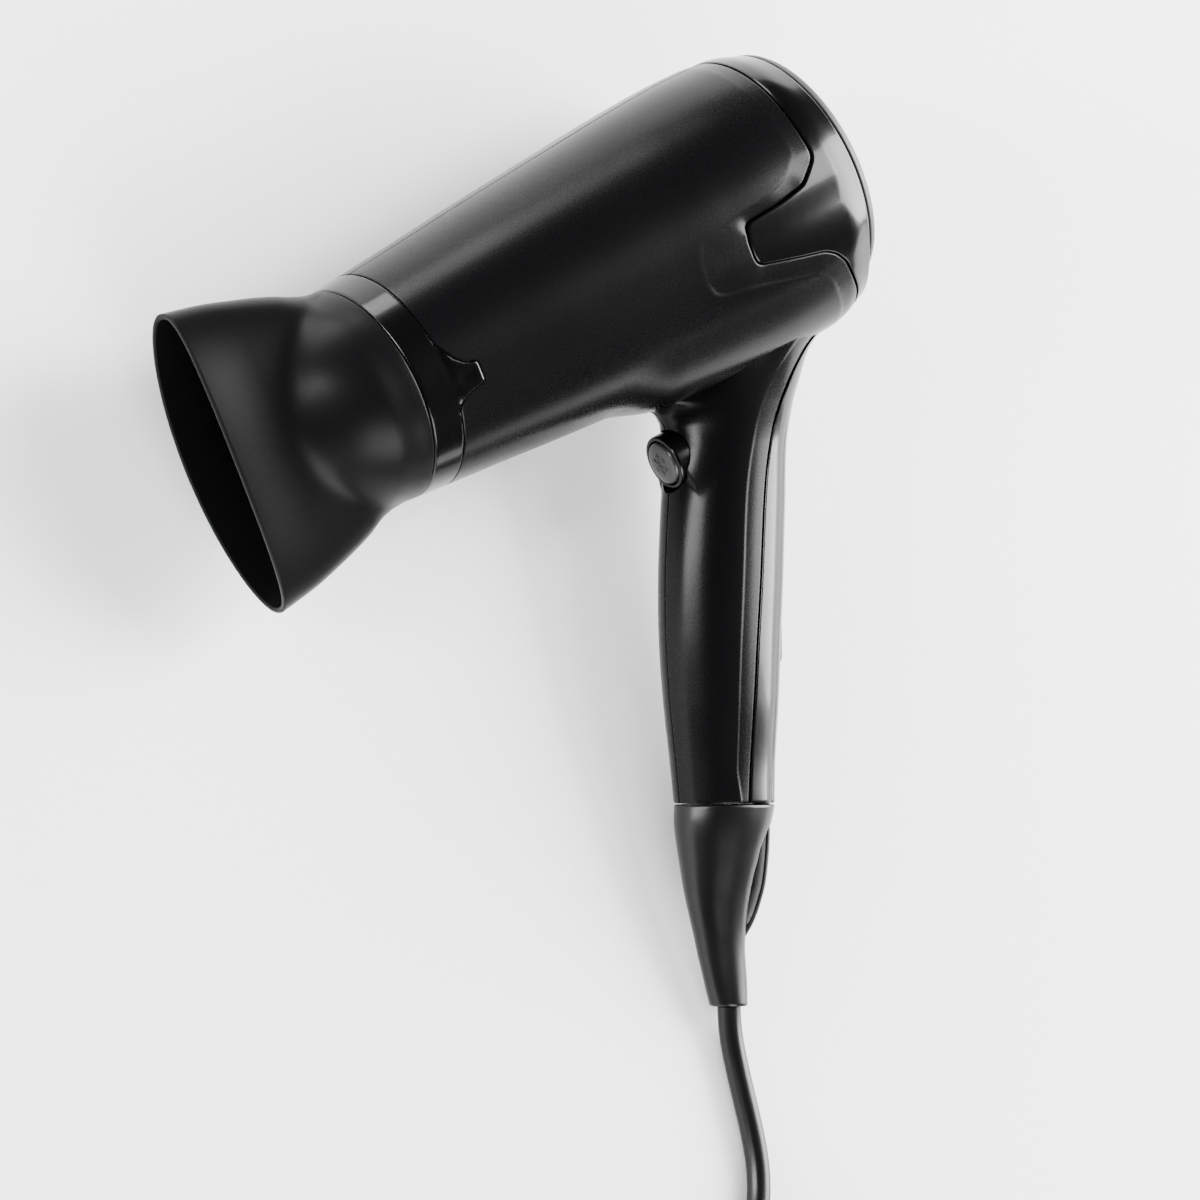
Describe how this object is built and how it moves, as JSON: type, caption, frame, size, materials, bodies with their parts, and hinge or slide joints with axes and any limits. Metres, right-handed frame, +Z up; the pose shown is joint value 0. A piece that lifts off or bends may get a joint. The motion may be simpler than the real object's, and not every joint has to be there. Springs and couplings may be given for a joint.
{
  "type": "travel hair dryer",
  "caption": "Corded travel hair dryer with a concentrator nozzle, cool button, rear intake grille and hanging strap, lying on its side.",
  "frame": {"origin": "bottom centre of the dryer's own box, without the free cord, on the floor it lies on", "axes": "+Z up from the floor it lies on, +Y up the handle towards the barrel, +X towards the intake at the rear"},
  "size_m": [0.2558, 0.4008, 0.0724],
  "materials": {
    "shell": "satin moulded black",
    "gloss_cover": "polished black",
    "nozzle": "fine matte texture",
    "heat_plastic": "matte heat-resistant plastic",
    "mica": "flaky sheet",
    "coil_wire": "oxidised resistance wire",
    "resin": "moulded resin",
    "steel": "plain steel",
    "fan_plastic": "grey moulded plastic",
    "filter_mesh": "open mesh",
    "button_plastic": "satin dark grey",
    "wire": "wire insulation",
    "rubber": "soft black",
    "plated_brass": "nickel-plated pin"
  },
  "bodies": {
    "dryer_body": {"housing_left": "shell", "housing_right": "shell", "back_cover": "gloss_cover", "front_ring": "gloss_cover", "outlet_grille": "heat_plastic", "heat_tube": "mica", "heater_board_a": "mica", "heater_board_b": "mica", "heating_coil": "coil_wire", "thermostat": "resin", "thermal_fuse": "steel", "motor_mount": "heat_plastic", "motor_can": "steel", "inlet_filter": "filter_mesh", "button_bezel": "gloss_cover", "button_spring": "steel", "cool_switch": "resin", "speed_switch": "resin", "heat_switch": "resin", "rectifier_board": "resin", "cord_clamp": "fan_plastic", "supply_wire": "wire", "link_wire": "wire", "motor_wire": "wire", "heater_wire": "wire", "screw_low": "steel", "screw_high": "steel", "screw_neck": "steel", "strain_relief": "rubber", "cord": "rubber", "cord_coil": "rubber", "cord_tail": "rubber", "plug_body": "rubber", "plug_pin_a": "plated_brass", "plug_pin_b": "plated_brass"},
    "collar": {"nozzle_collar": "heat_plastic"},
    "nozzle": {"nozzle": "nozzle"},
    "fan": {"fan": "fan_plastic", "motor_shaft": "steel"},
    "cool_button": {"cool_button": "button_plastic"},
    "speed_knob": {"speed_knob": "button_plastic"},
    "heat_knob": {"heat_knob": "button_plastic"},
    "inlet_grille": {"inlet_grille": "heat_plastic"}
  },
  "joints": [
    {"name": "nozzle_turn", "type": "hinge", "parent": "dryer_body", "child": "collar", "pos_m": [-0.03991, 0.03232, 0.0289], "axis": [-0.9085, -0.4126, -0.066], "continuous": true},
    {"name": "nozzle_pull", "type": "slide", "parent": "collar", "child": "nozzle", "axis": [-0.9085, -0.4126, -0.066], "range_m": [0, 0.014]},
    {"name": "fan_spin", "type": "hinge", "parent": "dryer_body", "child": "fan", "pos_m": [0.06638, 0.08059, 0.03663], "axis": [-0.9085, -0.4126, -0.066], "continuous": true},
    {"name": "cool_press", "type": "slide", "parent": "dryer_body", "child": "cool_button", "axis": [0.9085, 0.4126, 0.066], "range_m": [0, 0.002], "stiffness_N_per_m": 400, "springref_m": -0.001},
    {"name": "speed_slide", "type": "slide", "parent": "dryer_body", "child": "speed_knob", "axis": [0, 0.9874, 0.158], "range_m": [-0.004, 0.004]},
    {"name": "heat_slide", "type": "slide", "parent": "dryer_body", "child": "heat_knob", "axis": [0, 0.9874, 0.158], "range_m": [-0.004, 0.004]},
    {"name": "grille_pull", "type": "slide", "parent": "dryer_body", "child": "inlet_grille", "axis": [0.9085, 0.4126, 0.066], "range_m": [0, 0.012]}
  ]
}
